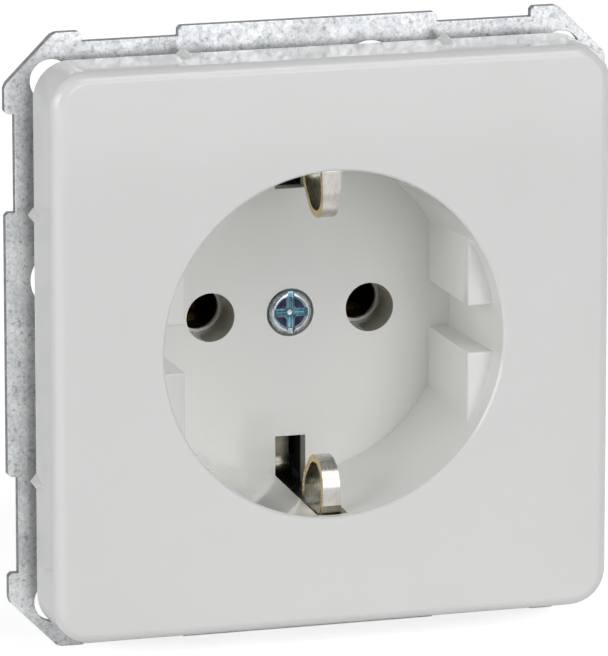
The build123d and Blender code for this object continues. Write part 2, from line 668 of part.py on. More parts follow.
# Earth lug: bent strip riveted to the web, which carries the earth terminal
with BuildPart() as earth_terminal_lug:
    flange_y = WEB_BACK_Y + EARTH_LUG_T / 2
    tail_y = LUG_BACK_Y - EARTH_LUG_T / 2
    shelf_z = EARTH_LUG_SHELF_GAP - TERMINAL_DROP
    with BuildSketch(Plane.YZ):
        with BuildLine():
            FilletPolyline(
                (flange_y, -EARTH_LUG_TOP),
                (flange_y, shelf_z),
                (tail_y, shelf_z),
                (tail_y, -TERMINAL_DROP - LUG_TAIL),
                radius=EARTH_LUG_BEND_R,
            )
        trace(line_width=EARTH_LUG_T)
    extrude(amount=EARTH_LUG_W / 2, both=True)
    with BuildSketch(level(WEB_BACK_Y)):
        with Locations((0, -RIVET_Z)):
            Circle(RIVET_D / 2 + FIT)
    extrude(amount=-EARTH_LUG_T, mode=Mode.SUBTRACT)
earth_terminal_lug.part.label = "earth_terminal_lug"

# Rivet through the web and the earth lug, flush at the front
with BuildPart() as earth_rivet:
    with BuildSketch(level(WEB_Y)):
        with Locations((0, -RIVET_Z)):
            Circle(RIVET_D / 2)
    extrude(amount=-(STRIP_T + EARTH_LUG_T))
    with BuildSketch(level(WEB_BACK_Y + EARTH_LUG_T)):
        with Locations((0, -RIVET_Z)):
            Circle(RIVET_HEAD_D / 2)
    extrude(amount=-RIVET_HEAD_H)
earth_rivet.part.label = "earth_rivet"

os.makedirs("parts", exist_ok=True)
built = (
    cover,
    centre_screw,
    support_frame,
    earth_bracket,
    contact_cover,
    socket_base,
    housing_screws,
    earth_terminal_lug,
    earth_rivet,
)
for piece in built:
    export_step(piece.part, f"parts/{piece.part.label}.step")

# The line side is at -X and the neutral side at +X
for pole, side in (("line", -1), ("neutral", 1)):
    pole_contact = make_contact(side)
    pole_contact.label = f"{pole}_contact"
    export_step(pole_contact, f"parts/{pole}_contact.step")
    pole_spring = make_contact_spring(side)
    pole_spring.label = f"{pole}_contact_spring"
    export_step(pole_spring, f"parts/{pole}_contact_spring.step")

for pole, side in (("line", -1), ("earth", 0), ("neutral", 1)):
    pole_cage = make_cage(side * TERMINAL_PITCH)
    pole_cage.label = f"{pole}_terminal_cage"
    export_step(pole_cage, f"parts/{pole}_terminal_cage.step")
    pole_screw = make_terminal_screw(side * TERMINAL_PITCH)
    pole_screw.label = f"{pole}_terminal_screw"
    export_step(pole_screw, f"parts/{pole}_terminal_screw.step")
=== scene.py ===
"""Flush wall socket with a round cup and side earth clips, dressed over its CAD frame."""

import json
import logging
import math
from collections.abc import Callable
from dataclasses import dataclass, field
from enum import Enum, IntEnum

import bpy
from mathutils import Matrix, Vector

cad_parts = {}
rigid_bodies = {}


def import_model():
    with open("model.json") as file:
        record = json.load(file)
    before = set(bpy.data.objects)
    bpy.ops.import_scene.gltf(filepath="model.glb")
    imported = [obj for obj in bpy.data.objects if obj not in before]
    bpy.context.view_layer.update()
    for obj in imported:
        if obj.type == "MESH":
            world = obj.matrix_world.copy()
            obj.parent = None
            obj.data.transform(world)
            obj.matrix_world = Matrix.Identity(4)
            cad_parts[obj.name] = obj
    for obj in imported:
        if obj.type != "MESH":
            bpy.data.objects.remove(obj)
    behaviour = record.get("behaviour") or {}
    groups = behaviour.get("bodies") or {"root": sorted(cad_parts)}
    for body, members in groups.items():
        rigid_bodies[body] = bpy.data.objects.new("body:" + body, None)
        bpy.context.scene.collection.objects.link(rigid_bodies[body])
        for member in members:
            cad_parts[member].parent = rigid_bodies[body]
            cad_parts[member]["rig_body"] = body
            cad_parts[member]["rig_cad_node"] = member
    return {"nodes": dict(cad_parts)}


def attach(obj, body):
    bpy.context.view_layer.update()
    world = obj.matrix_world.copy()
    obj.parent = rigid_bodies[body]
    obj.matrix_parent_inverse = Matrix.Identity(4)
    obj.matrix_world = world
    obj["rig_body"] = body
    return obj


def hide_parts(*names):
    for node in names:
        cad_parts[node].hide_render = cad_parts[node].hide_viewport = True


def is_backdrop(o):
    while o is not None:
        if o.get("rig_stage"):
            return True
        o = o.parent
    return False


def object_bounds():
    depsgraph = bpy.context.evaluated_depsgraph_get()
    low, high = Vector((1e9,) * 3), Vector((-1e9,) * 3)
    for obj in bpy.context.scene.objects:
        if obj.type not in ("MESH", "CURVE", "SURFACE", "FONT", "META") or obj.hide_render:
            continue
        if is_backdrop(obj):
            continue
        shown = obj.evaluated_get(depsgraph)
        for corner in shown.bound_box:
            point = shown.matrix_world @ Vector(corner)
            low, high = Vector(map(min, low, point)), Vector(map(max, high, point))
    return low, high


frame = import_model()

LOG = logging.getLogger("wall_socket")
MM = 0.001

Colour = tuple[float, float, float]
Face = bpy.types.MeshPolygon
Piece = bpy.types.Object
Socket = bpy.types.NodeSocket

WHITE: Colour = (1.0, 1.0, 1.0)
SIDES = (1.0, -1.0)

# Most values of a cloudy pattern lie between these
CLOUD_LOW = 0.3
CLOUD_HIGH = 0.7

# How meshes are cleaned, rounded and shaded
MERGE_DISTANCE = 0.001 * MM
FLAT_ANGLE = math.radians(0.6)
SHARP_ANGLE = math.radians(32.0)
SMOOTH_ANGLE = math.radians(44.0)
ROUND_STEPS = 2


class Pole(Enum):
    """The wires that a terminal can take."""

    LINE = "line"
    EARTH = "earth"
    NEUTRAL = "neutral"


class Slot(Enum):
    """The record's material slots."""

    WHITE_PLASTIC = "white_plastic"
    DARK_PLASTIC = "dark_plastic"
    GALVANISED_STEEL = "galvanised_steel"
    NICKEL_BRASS = "nickel_brass"
    BRASS = "brass"
    ZINC_STEEL = "zinc_steel"
    SPRING_STEEL = "spring_steel"


class Plating(IntEnum):
    """The earth strip's finishes, by their place in its list."""

    FACE = 0
    CUT_EDGE = 1
    # Painted shade deep behind the floor, under each curl and at the lower foot.
    DULL = 2
    # Painted shade on the faces inside each curl.
    HOLLOW = 3


class ScrewTone(IntEnum):
    """The centre screw's finishes, by their place in its list."""

    BRIGHT = 0
    # Painted dark reflection on the pocket floors.
    POCKET = 1
    CROSS = 2


# Finishes


@dataclass(frozen=True)
class Clouds:
    """A cloudy pattern: the size of one cloud in metres, and how many finer layers it has."""

    size: float
    layers: float


@dataclass(frozen=True)
class Relief:
    """How strongly a pattern shows as relief, and its depth in metres."""

    strength: float
    depth: float


class NodeBoard:
    """A node tree with the sums and colours that materials and the sky share."""

    def __init__(self, tree: bpy.types.NodeTree) -> None:
        """Take up a node tree."""
        self.tree = tree

    def add(self, kind: str, **values: object) -> bpy.types.Node:
        """Add a node.

        Args:
            kind: Blender's name for the node type.
            values: Node properties, or input sockets written with their capitals.

        Returns:
            The new node.
        """
        node = self.tree.nodes.new(kind)
        for key, value in values.items():
            if hasattr(node, key):
                setattr(node, key, value)
            else:
                node.inputs[key.replace("_", " ")].default_value = value
        return node

    def find(self, kind: str) -> bpy.types.Node:
        """Find the first node of a type."""
        return next(node for node in self.tree.nodes if node.type == kind)

    def link(self, source: Socket, target: Socket) -> None:
        """Join two sockets."""
        self.tree.links.new(source, target)

    def spread(
        self, value: Socket, low: float, high: float, start: float = CLOUD_LOW, end: float = CLOUD_HIGH
    ) -> Socket:
        """Stretch a value to a new range.

        Args:
            value: The value to stretch.
            low: Result at start.
            high: Result at end.
            start: Value that gives low.
            end: Value that gives high.

        Returns:
            The stretched value.
        """
        node = self.add("ShaderNodeMapRange", From_Min=start, From_Max=end, To_Min=low, To_Max=high)
        self.link(value, node.inputs["Value"])
        return node.outputs["Result"]

    def ramp(self, value: Socket, *stops: tuple[float, Colour]) -> Socket:
        """Colour by a value.

        Args:
            value: The value to read.
            stops: Places from 0 to 1 with their colours.

        Returns:
            The colour.
        """
        node = self.add("ShaderNodeValToRGB")
        elements = node.color_ramp.elements
        while len(elements) < len(stops):
            elements.new(1.0)
        for element, (position, colour) in zip(elements, stops):
            element.position = position
            element.color = (*colour, 1.0)
        self.link(value, node.inputs["Fac"])
        return node.outputs["Color"]

    def calculate(self, kind: str, first: Socket, second: Socket | float) -> Socket:
        """Work out a value from two.

        Args:
            kind: Blender's name for the sum.
            first: First value.
            second: Second value, which may be a plain number.

        Returns:
            The result.
        """
        node = self.add("ShaderNodeMath", operation=kind)
        self.link(first, node.inputs[0])
        if isinstance(second, float):
            node.inputs[1].default_value = second
        else:
            self.link(second, node.inputs[1])
        return node.outputs[0]


class NodeSheet(NodeBoard):
    """A material's node tree with its shader, and the patterns that finishes share."""

    def __init__(self, name: str) -> None:
        """Start a material with a plain shader.

        Args:
            name: The material's name.
        """
        self.material = bpy.data.materials.new(name)
        self.material.use_nodes = True
        super().__init__(self.material.node_tree)
        self.shader = self.find("BSDF_PRINCIPLED")
        self.place = self.add("ShaderNodeTexCoord").outputs["Object"]

    def fix(self, socket: str, value: float | tuple[float, ...]) -> None:
        """Set a plain value on the shader."""
        self.shader.inputs[socket].default_value = value

    def colour(self, tone: Socket) -> None:
        """Give the shader its colour."""
        self.link(tone, self.shader.inputs["Base Color"])

    def roughen(self, value: Socket, low: float, high: float) -> None:
        """Let the shader's roughness follow a value between two limits."""
        self.link(self.spread(value, low, high), self.shader.inputs["Roughness"])

    def stretched(self, scale: tuple[float, float, float]) -> Socket:
        """Object coordinates scaled along each axis.

        Args:
            scale: Factor along X, Y and Z.

        Returns:
            The scaled coordinates.
        """
        mapping = self.add("ShaderNodeMapping", Scale=scale)
        self.link(self.place, mapping.inputs["Vector"])
        return mapping.outputs["Vector"]

    def noise(self, clouds: Clouds, place: Socket | None = None) -> Socket:
        """Cloudy noise.

        Args:
            clouds: Its size and layers.
            place: Coordinates to use in place of the plain ones.

        Returns:
            The noise, from 0 to 1.
        """
        node = self.add("ShaderNodeTexNoise", Scale=1.0 / clouds.size, Detail=clouds.layers)
        self.link(place or self.place, node.inputs["Vector"])
        return node.outputs["Fac"]

    def shades(self, value: Socket, dark: Colour, light: Colour) -> Socket:
        """Colour a cloudy value from dark to light."""
        return self.ramp(value, (CLOUD_LOW, dark), (CLOUD_HIGH, light))

    def multiply(self, share: float, first: Socket, second: Socket) -> Socket:
        """Darken a colour by another.

        Args:
            share: How much of the darkening is used.
            first: The colour.
            second: The colour that darkens it.

        Returns:
            The darkened colour.
        """
        node = self.add("ShaderNodeMix", data_type="RGBA", blend_type="MULTIPLY", Factor=share)
        colours = [socket for socket in node.inputs if socket.type == "RGBA"]
        self.link(first, colours[0])
        self.link(second, colours[1])
        return next(socket for socket in node.outputs if socket.type == "RGBA")

    def bump(self, height: Socket, relief: Relief) -> None:
        """Add relief to the shader.

        Args:
            height: The pattern, from 0 to 1.
            relief: Its strength and depth.
        """
        node = self.add("ShaderNodeBump", Strength=relief.strength, Distance=relief.depth)
        self.link(height, node.inputs["Height"])
        self.link(node.outputs["Normal"], self.shader.inputs["Normal"])


@dataclass(frozen=True)
class GlossyWhitePlastic:
    """Polished moulding, with a faint flow in its colour and a slight ripple."""

    name: str = "glossy_white_plastic"
    light: Colour = (0.920, 0.920, 0.882)
    dark: Colour = (0.905, 0.905, 0.866)
    flow: Clouds = Clouds(18.0 * MM, 2.0)
    haze: Clouds = Clouds(0.9 * MM, 4.0)
    ripple: Clouds = Clouds(2.2 * MM, 2.0)
    roughness: tuple[float, float] = (0.06, 0.09)
    refraction: float = 1.5
    relief: Relief = Relief(0.03, 0.01 * MM)

    def make(self) -> bpy.types.Material:
        """Build the material.

        Returns:
            The material.
        """
        sheet = NodeSheet(self.name)
        sheet.colour(sheet.shades(sheet.noise(self.flow), self.dark, self.light))
        sheet.roughen(sheet.noise(self.haze), *self.roughness)
        sheet.fix("IOR", self.refraction)
        sheet.bump(sheet.noise(self.ripple), self.relief)
        return sheet.material


@dataclass(frozen=True)
class GalvanisedSteel:
    """Zinc coated sheet: a bright coat with grey clouds, dark specks and a fine grain."""

    name: str = "galvanised_sheet"
    clouds: Clouds = Clouds(2.6 * MM, 4.0)
    cloud_tones: tuple[tuple[float, Colour], ...] = (
        (0.34, (0.71, 0.725, 0.735)),
        (0.60, (0.88, 0.89, 0.89)),
    )
    specks: Clouds = Clouds(0.55 * MM, 6.0)
    speck_tones: tuple[tuple[float, Colour], ...] = (
        (0.30, (0.30, 0.32, 0.33)),
        (0.42, (0.84, 0.85, 0.85)),
        (0.60, WHITE),
    )
    speck_share: float = 0.62
    grain: Clouds = Clouds(0.22 * MM, 3.0)
    grain_tones: tuple[tuple[float, Colour], ...] = (
        (0.30, (0.55, 0.56, 0.57)),
        (0.55, WHITE),
    )
    grain_share: float = 0.55
    rubbing: Clouds = Clouds(0.7 * MM, 5.0)
    roughness: tuple[float, float] = (0.30, 0.52)
    relief: Relief = Relief(0.3, 0.03 * MM)

    def make(self) -> bpy.types.Material:
        """Build the material.

        Returns:
            The material.
        """
        sheet = NodeSheet(self.name)
        clouds = sheet.ramp(sheet.noise(self.clouds), *self.cloud_tones)
        specks = sheet.ramp(sheet.noise(self.specks), *self.speck_tones)
        grain = sheet.ramp(sheet.noise(self.grain), *self.grain_tones)
        speckled = sheet.multiply(self.speck_share, clouds, specks)
        sheet.colour(sheet.multiply(self.grain_share, speckled, grain))
        sheet.fix("Metallic", 1.0)
        rubbing = sheet.noise(self.rubbing)
        sheet.roughen(rubbing, *self.roughness)
        sheet.bump(rubbing, self.relief)
        return sheet.material


@dataclass(frozen=True)
class PunchedEdge:
    """Bare cut edge of steel sheet, with streaks across its thickness."""

    name: str = "punched_steel_edge"
    light: Colour = (0.40, 0.41, 0.42)
    dark: Colour = (0.19, 0.195, 0.20)
    grain: Clouds = Clouds(0.5 * MM, 4.0)
    streak: tuple[float, float, float] = (1.0, 0.25, 1.0)
    roughness: tuple[float, float] = (0.38, 0.58)
    relief: Relief = Relief(0.3, 0.03 * MM)

    def make(self) -> bpy.types.Material:
        """Build the material.

        Returns:
            The material.
        """
        sheet = NodeSheet(self.name)
        grain = sheet.noise(self.grain, sheet.stretched(self.streak))
        sheet.colour(sheet.shades(grain, self.dark, self.light))
        sheet.fix("Metallic", 1.0)
        sheet.roughen(grain, *self.roughness)
        sheet.bump(grain, self.relief)
        return sheet.material


@dataclass(frozen=True)
class PlatedMetal:
    """Plated or drawn metal with fine lines along one axis and soft stains."""

    name: str
    light: Colour
    dark: Colour
    dullness: float
    lines: tuple[float, float, float] = (1.0, 1.0, 1.0)
    line_size: float = 0.25 * MM
    stain_size: float = 1.6 * MM
    layers: float = 3.0
    stain_start: float = 0.28
    stain_end: float = 0.62
    worn: Colour = (0.86, 0.86, 0.86)
    worn_share: float = 0.6
    sharper: float = 0.05
    duller: float = 0.08
    relief: float = 0.12
    relief_depth: float = 0.01 * MM

    def make(self) -> bpy.types.Material:
        """Build the material.

        Returns:
            The material.
        """
        sheet = NodeSheet(self.name)
        lines = sheet.noise(Clouds(self.line_size, self.layers), sheet.stretched(self.lines))
        stains = sheet.noise(Clouds(self.stain_size, self.layers))
        tone = sheet.ramp(stains, (self.stain_start, self.dark), (self.stain_end, self.light))
        worn = sheet.shades(lines, self.worn, WHITE)
        sheet.colour(sheet.multiply(self.worn_share, tone, worn))
        sheet.fix("Metallic", 1.0)
        sheet.roughen(lines, self.dullness - self.sharper, self.dullness + self.duller)
        sheet.bump(lines, Relief(self.relief, self.relief_depth))
        return sheet.material


@dataclass(frozen=True)
class DarkThermoset:
    """Dull pressed plastic with a fine mineral grain."""

    name: str = "dark_thermoset"
    light: Colour = (0.046, 0.047, 0.050)
    dark: Colour = (0.024, 0.025, 0.027)
    clouds: Clouds = Clouds(7.0 * MM, 3.0)
    grain: Clouds = Clouds(0.35 * MM, 5.0)
    grain_tones: tuple[tuple[float, Colour], ...] = (
        (0.35, (0.8, 0.8, 0.8)),
        (0.75, WHITE),
    )
    grain_share: float = 0.8
    roughness: tuple[float, float] = (0.42, 0.58)
    relief: Relief = Relief(0.12, 0.03 * MM)

    def make(self) -> bpy.types.Material:
        """Build the material.

        Returns:
            The material.
        """
        sheet = NodeSheet(self.name)
        grain = sheet.noise(self.grain)
        tone = sheet.shades(sheet.noise(self.clouds), self.dark, self.light)
        sheet.colour(sheet.multiply(self.grain_share, tone, sheet.ramp(grain, *self.grain_tones)))
        sheet.roughen(grain, *self.roughness)
        sheet.bump(grain, self.relief)
        return sheet.material


# Darker, warmer plastic for the pin tube walls: painted shade deep in the tubes.
TUBE_PAINTED_SHADE_PLASTIC = GlossyWhitePlastic("tube_painted_shade", (0.52, 0.52, 0.45), (0.46, 0.46, 0.39))
ROLLED = {"lines": (4.0, 0.3, 0.3), "relief": 0.04}
NICKEL = PlatedMetal("nickel_plate", (0.61, 0.595, 0.555), (0.48, 0.465, 0.425), 0.26, **ROLLED)
# Darker nickel for the inner faces of the curls: painted shade.
PAINTED_CURL_SHADE_NICKEL = PlatedMetal("painted_curl_shade_nickel", (0.40, 0.38, 0.31), (0.26, 0.24, 0.18), 0.28, **ROLLED)
# Near black nickel: painted shade on the strip deep behind the floor, under each curl and at the lower
# foot.
PAINTED_DARK_SHADE_NICKEL = PlatedMetal("painted_dark_shade_nickel", (0.230, 0.215, 0.170), (0.110, 0.100, 0.075), 0.22, **ROLLED)
CUT_BRASS = PlatedMetal(
    "cut_brass_edge", (0.80, 0.63, 0.31), (0.62, 0.46, 0.19), 0.26, lines=(0.3, 1.0, 1.0)
)
# Darker than clean brass: painted shade for the forks deep in the pin holes. The earth lug and its rivet
# use it too.
BRASS = PlatedMetal("contact_brass", (0.62, 0.47, 0.21), (0.44, 0.32, 0.13), 0.30, lines=(0.3, 3.0, 3.0))
BLUE_ZINC = PlatedMetal(
    "blue_zinc", (0.27, 0.46, 0.53), (0.07, 0.20, 0.26), 0.22, line_size=0.4 * MM, stain_size=0.7 * MM
)
CLEAR_ZINC = PlatedMetal(
    "clear_zinc", (0.60, 0.64, 0.67), (0.40, 0.45, 0.50), 0.26, line_size=0.4 * MM, stain_size=0.9 * MM
)
# Near black blue zinc for the pocket floors: painted dark reflection.
PAINTED_DARK_REFLECTION_ZINC = PlatedMetal(
    "painted_dark_reflection_zinc",
    (0.040, 0.042, 0.085),
    (0.015, 0.015, 0.036),
    0.30,
    line_size=0.3 * MM,
    stain_size=0.8 * MM,
)
SPRING_STEEL = PlatedMetal(
    "spring_steel", (0.50, 0.51, 0.53), (0.36, 0.37, 0.40), 0.28, lines=(0.4, 2.0, 2.0)
)


@dataclass
class Finishes:
    """The finishes of the whole socket, each made once."""

    plastic: bpy.types.Material = field(default_factory=GlossyWhitePlastic().make)
    # Painted shade for the pin tube walls.
    tube_painted_shade: bpy.types.Material = field(default_factory=TUBE_PAINTED_SHADE_PLASTIC.make)
    sheet_steel: bpy.types.Material = field(default_factory=GalvanisedSteel().make)
    punched: bpy.types.Material = field(default_factory=PunchedEdge().make)
    dark: bpy.types.Material = field(default_factory=DarkThermoset().make)
    nickel: bpy.types.Material = field(default_factory=NICKEL.make)
    painted_curl_shade_nickel: bpy.types.Material = field(default_factory=PAINTED_CURL_SHADE_NICKEL.make)
    painted_dark_shade_nickel: bpy.types.Material = field(default_factory=PAINTED_DARK_SHADE_NICKEL.make)
    cut_brass: bpy.types.Material = field(default_factory=CUT_BRASS.make)
    brass: bpy.types.Material = field(default_factory=BRASS.make)
    blue_zinc: bpy.types.Material = field(default_factory=BLUE_ZINC.make)
    zinc: bpy.types.Material = field(default_factory=CLEAR_ZINC.make)
    pocket_painted_reflection: bpy.types.Material = field(default_factory=PAINTED_DARK_REFLECTION_ZINC.make)
    spring_steel: bpy.types.Material = field(default_factory=SPRING_STEEL.make)


# Mesh work


def deselect() -> None:
    """Leave edit mode and deselect everything."""
    if bpy.context.object and bpy.context.object.mode != "OBJECT":
        bpy.ops.object.mode_set(mode="OBJECT")
    bpy.ops.object.select_all(action="DESELECT")


def pick(piece: Piece) -> None:
    """Make a piece the only selected and active object.

    Args:
        piece: The piece.
    """
    deselect()
    piece.select_set(True)
    bpy.context.view_layer.objects.active = piece


def choose(piece: Piece, wanted: Callable[[Face], bool]) -> None:
    """Open a piece for editing with only the wanted faces selected.

    Args:
        piece: The piece.
        wanted: Whether a face is to be selected.
    """
    pick(piece)
    bpy.ops.object.mode_set(mode="EDIT")
    bpy.ops.mesh.select_mode(type="FACE")
    bpy.ops.mesh.select_all(action="DESELECT")
    bpy.ops.object.mode_set(mode="OBJECT")
    for face in piece.data.polygons:
        face.select = wanted(face)
    bpy.ops.object.mode_set(mode="EDIT")


def copy_of(node: str, name: str) -> Piece:
    """Copy a CAD node as a free mesh with its corners merged and its flat faces whole.

    Args:
        node: The CAD node.
        name: The new piece's name.

    Returns:
        The copy.
    """
    pick(frame["nodes"][node])
    bpy.ops.object.duplicate()
    piece = bpy.context.object
    piece.name = name
    piece.parent = None
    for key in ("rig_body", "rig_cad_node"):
        if key in piece:
            del piece[key]
    bpy.ops.mesh.customdata_custom_splitnormals_clear()
    bpy.ops.object.mode_set(mode="EDIT")
    bpy.ops.mesh.select_all(action="SELECT")
    bpy.ops.mesh.remove_doubles(threshold=MERGE_DISTANCE)
    bpy.ops.mesh.dissolve_limited(angle_limit=FLAT_ANGLE)
    bpy.ops.object.mode_set(mode="OBJECT")
    return piece


def round_edges(piece: Piece, width: float, steps: int = ROUND_STEPS) -> None:
    """Round a piece's sharp edges and smooth its shading.

    Args:
        piece: The piece.
        width: Width of the rounding in metres.
        steps: Faces across the rounding.
    """
    pick(piece)
    rounding = piece.modifiers.new("rounded_edges", "BEVEL")
    rounding.width = width
    rounding.segments = steps
    rounding.limit_method = "ANGLE"
    rounding.angle_limit = SHARP_ANGLE
    bpy.ops.object.modifier_apply(modifier=rounding.name)
    bpy.ops.object.shade_smooth_by_angle(angle=SMOOTH_ANGLE)
    flatness = piece.modifiers.new("flat_faces", "WEIGHTED_NORMAL")
    flatness.keep_sharp = True
    bpy.ops.object.modifier_apply(modifier=flatness.name)


def carve(piece: Piece, cutter: Piece) -> None:
    """Cut a cutter out of a piece and throw the cutter away.

    Args:
        piece: The piece.
        cutter: The shape to take out of it.
    """
    pick(piece)
    cut = piece.modifiers.new("recess", "BOOLEAN")
    cut.operation = "DIFFERENCE"
    cut.solver = "EXACT"
    cut.object = cutter
    bpy.ops.object.modifier_apply(modifier=cut.name)
    pick(cutter)
    bpy.ops.object.delete()


def paint(piece: Piece, *materials: bpy.types.Material) -> None:
    """Give a piece its materials, the first on every face.

    Args:
        piece: The piece.
        materials: Its materials in order.
    """
    piece.data.materials.clear()
    for material in materials:
        piece.data.materials.append(material)
    for face in piece.data.polygons:
        face.material_index = 0


def repaint(piece: Piece, finish_of: Callable[[Face], int]) -> None:
    """Choose the material of each face from the piece's list.

    Args:
        piece: The piece.
        finish_of: The place of a face's material in the list; true and false count as 1 and 0.
    """
    for face in piece.data.polygons:
        face.material_index = int(finish_of(face))


def settle(piece: Piece, node: str) -> None:
    """Fix a finished piece to the body in place of its CAD node.

    Args:
        piece: The finished piece.
        node: The CAD node that it stands for.
    """
    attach(piece, "root")
    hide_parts(node)
    LOG.info("%s: %d faces", piece.name, len(piece.data.polygons))


def dress(node: str, name: str, edge: float, material: bpy.types.Material) -> None:
    """Make a piece of one finish from its CAD node.

    Args:
        node: The CAD node.
        name: The new piece's name.
        edge: Width of its rounded edges in metres.
        material: Its finish.
    """
    piece = copy_of(node, name)
    round_edges(piece, edge)
    paint(piece, material)
    settle(piece, node)


# Sub-assemblies


@dataclass
class FrontCover:
    """White front with the plug recess."""

    edge: float = 0.09 * MM
    pin_x: float = 9.5 * MM
    pin_hole_radius: float = 2.85 * MM
    floor_y: float = 5.9 * MM
    wall_lean: float = 0.5

    def build(self, finishes: Finishes) -> None:
        """Make the cover with its small edges rounded and painted shade on the walls of its pin tubes.

        Args:
            finishes: The finishes to use.
        """
        piece = copy_of("cover", "front_cover")
        round_edges(piece, self.edge)
        paint(piece, finishes.plastic, finishes.tube_painted_shade)
        # Faces of the pin tube walls take the darker plastic, which is painted shade.
        repaint(piece, self.gets_painted_tube_shade)
        settle(piece, "cover")

    def gets_painted_tube_shade(self, face: Face) -> bool:
        """Whether a face is part of the wall of a pin tube, where shade is painted.

        Args:
            face: A face of the cover.

        Returns:
            True for a wall behind the cup floor.
        """
        from_pin = math.hypot(abs(face.center.x) - self.pin_x, face.center.z)
        within = from_pin < self.pin_hole_radius + self.edge / 2
        behind = face.center.y > self.floor_y + self.edge
        return within and behind and abs(face.normal.y) < self.wall_lean


@dataclass
class SupportFrame:
    """Steel frame behind the cover, with plated faces and punched edges."""

    edge: float = 0.10 * MM
    leg_start: float = 24.3 * MM
    leg_half: float = 6.4 * MM
    thickness: float = 1.2 * MM
    edge_lean: float = 0.3

    def build(self, finishes: Finishes) -> None:
        """Make the frame and darken the edges that the punch left.

        Args:
            finishes: The finishes to use.
        """
        piece = copy_of("support_frame", "steel_frame")
        round_edges(piece, self.edge)
        paint(piece, finishes.sheet_steel, finishes.punched)
        repaint(piece, self.is_punched)
        settle(piece, "support_frame")

    def is_punched(self, face: Face) -> bool:
        """Whether a face lies on the cut edge of the flat plate.

        Args:
            face: A face of the frame.

        Returns:
            True for a cut edge that isn't beside a leg.
        """
        inside = -self.thickness < face.center.y < 0.0
        beside_leg = abs(face.center.x) < self.leg_start and abs(face.center.z) < self.leg_half
        return inside and not beside_leg and abs(face.normal.y) < self.edge_lean


@dataclass
class BentStrip:
    """Flat strip swept along a bent path in the YZ plane, which starts upwards."""

    width: float
    thickness: float
    path: tuple[tuple[float, float], ...]
    radii: tuple[float, ...]
    step: float = math.radians(6.0)
    fewest_steps: int = 2

    def sweep(self, name: str) -> Piece:
        """Push the strip's section along its path.

        Args:
            name: The strip's name.

        Returns:
            The strip, closed at both ends.
        """
        points = [Vector((0.0, y, z)) for y, z in self.path]
        deselect()
        bpy.ops.mesh.primitive_plane_add(size=1.0, location=points[0])
        strip = bpy.context.object
        strip.name = name
        bpy.ops.object.transform_apply(location=True)
        bpy.ops.object.mode_set(mode="EDIT")
        bpy.ops.mesh.select_all(action="SELECT")
        bpy.ops.transform.resize(value=(self.width, self.thickness, 1.0), center_override=points[0])
        here = points[0]
        for index, radius in enumerate(self.radii, start=1):
            before = (points[index] - points[index - 1]).normalized()
            after = (points[index + 1] - points[index]).normalized()
            bend = before.angle(after)
            reach = radius * math.tan(bend / 2)
            start = points[index] - before * reach
            bpy.ops.mesh.extrude_region_move(TRANSFORM_OT_translate={"value": start - here})
            axis = before.cross(after).normalized()
            centre = start + axis.cross(before) * radius
            steps = max(self.fewest_steps, math.ceil(bend / self.step))
            bpy.ops.mesh.spin(steps=steps, angle=bend, center=centre, axis=-axis)
            here = points[index] + after * reach
        bpy.ops.mesh.extrude_region_move(TRANSFORM_OT_translate={"value": points[-1] - here})
        bpy.ops.mesh.select_all(action="SELECT")
        bpy.ops.mesh.normals_make_consistent(inside=False)
        bpy.ops.object.mode_set(mode="OBJECT")
        return strip


